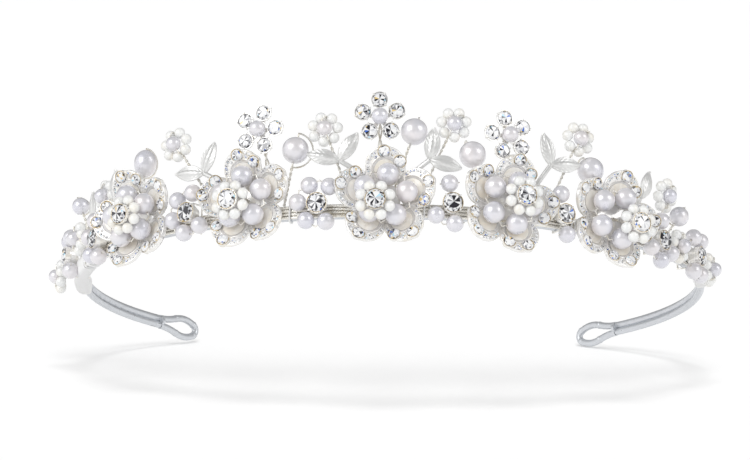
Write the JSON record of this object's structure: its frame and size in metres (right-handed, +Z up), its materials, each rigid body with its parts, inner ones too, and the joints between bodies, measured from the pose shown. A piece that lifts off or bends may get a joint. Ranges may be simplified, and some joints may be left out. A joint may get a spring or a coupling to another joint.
{
  "type": "bridal tiara",
  "caption": "Open head band of doubled silver wire with hairpin loops, carrying cast enamelled flowers, pearls, set stones, bead daisies and leaves wired on stems.",
  "frame": {"origin": "centre of the band's circle, where the head sits", "axes": "+X to the right as the front is looked at, +Y from the front to the open back, +Z up as the tiara is worn"},
  "size_m": [0.1575, 0.1354, 0.0707],
  "materials": {
    "band_wire": "satin silver-plated wire",
    "fine_wire": "soft champagne-silver wire",
    "cast_silver": "bright silver plate on castings and settings",
    "leaf_silver": "satin silver plate on cast leaves",
    "nacre_enamel": "cream pearly enamel",
    "clear_stone": "faceted clear stone",
    "seed_bead": "milky ivory bead",
    "pearl": "white pearl lustre"
  },
  "bodies": {
    "tiara": {"band_wire": "band_wire", "wire_tails": "fine_wire", "binding_wires": "fine_wire", "tie_wires": "fine_wire", "flower_1_casting": "cast_silver", "flower_1_enamel": "nacre_enamel", "flower_1_rim_stones": "clear_stone", "flower_1_pearls": "pearl", "flower_1_seed_beads": "seed_bead", "flower_2_casting": "cast_silver", "flower_2_enamel": "nacre_enamel", "flower_2_rim_stones": "clear_stone", "flower_2_pearls": "pearl", "flower_2_seed_beads": "seed_bead", "flower_3_casting": "cast_silver", "flower_3_enamel": "nacre_enamel", "flower_3_rim_stones": "clear_stone", "flower_3_pearls": "pearl", "flower_3_seed_beads": "seed_bead", "flower_4_casting": "cast_silver", "flower_4_enamel": "nacre_enamel", "flower_4_rim_stones": "clear_stone", "flower_4_pearls": "pearl", "flower_4_seed_beads": "seed_bead", "flower_5_casting": "cast_silver", "flower_5_enamel": "nacre_enamel", "flower_5_rim_stones": "clear_stone", "flower_5_pearls": "pearl", "flower_5_seed_beads": "seed_bead", "flower_lacing": "fine_wire", "flower_posts": "fine_wire", "centre_settings": "cast_silver", "centre_stones": "clear_stone", "cluster_settings": "cast_silver", "cluster_stones": "clear_stone", "cluster_pearls": "pearl", "cluster_lacing": "fine_wire", "stone_daisy_frame_1": "cast_silver", "stone_daisy_frame_2": "cast_silver", "stone_daisy_frame_3": "cast_silver", "stone_daisy_stones": "clear_stone", "stone_daisy_pearls": "pearl", "stone_daisy_stems": "fine_wire", "bead_daisy_beads": "seed_bead", "bead_daisy_pearls": "pearl", "bead_daisy_lacing": "fine_wire", "bead_daisy_stems": "fine_wire", "pearl_stems": "fine_wire", "leaf_spray_1": "leaf_silver", "leaf_spray_2": "leaf_silver", "leaf_spray_3": "leaf_silver", "leaf_spray_4": "leaf_silver", "end_leaves": "leaf_silver"},
    "stem_pearl_1": {"stem_pearl_1": "pearl"},
    "stem_pearl_2": {"stem_pearl_2": "pearl"},
    "stem_pearl_3": {"stem_pearl_3": "pearl"},
    "stem_pearl_4": {"stem_pearl_4": "pearl"},
    "stem_pearl_5": {"stem_pearl_5": "pearl"},
    "stem_pearl_6": {"stem_pearl_6": "pearl"},
    "stem_pearl_7": {"stem_pearl_7": "pearl"}
  },
  "joints": [
    {"name": "stem_pearl_1_spin", "type": "hinge", "parent": "tiara", "child": "stem_pearl_1", "pos_m": [-0.05629, -0.04042, 0.03141], "axis": [0.0665, 0.2475, 0.9666], "continuous": true},
    {"name": "stem_pearl_2_spin", "type": "hinge", "parent": "tiara", "child": "stem_pearl_2", "pos_m": [-0.02172, -0.06255, 0.03655], "axis": [0.1805, 0.2611, 0.9483], "continuous": true},
    {"name": "stem_pearl_3_spin", "type": "hinge", "parent": "tiara", "child": "stem_pearl_3", "pos_m": [0.00454, -0.06443, 0.0411], "axis": [0.309, 0.3066, 0.9003], "continuous": true},
    {"name": "stem_pearl_4_spin", "type": "hinge", "parent": "tiara", "child": "stem_pearl_4", "pos_m": [0.0175, -0.06414, 0.03614], "axis": [-0.4313, 0.156, 0.8886], "continuous": true},
    {"name": "stem_pearl_5_spin", "type": "hinge", "parent": "tiara", "child": "stem_pearl_5", "pos_m": [0.04419, -0.05227, 0.03192], "axis": [-0.4863, -0.1489, 0.861], "continuous": true},
    {"name": "stem_pearl_6_spin", "type": "hinge", "parent": "tiara", "child": "stem_pearl_6", "pos_m": [-0.07242, -0.02016, 0.01959], "axis": [-0.3323, 0.5401, 0.7732], "continuous": true},
    {"name": "stem_pearl_7_spin", "type": "hinge", "parent": "tiara", "child": "stem_pearl_7", "pos_m": [0.06535, -0.03534, 0.02023], "axis": [0.5225, 0.4767, 0.707], "continuous": true}
  ]
}
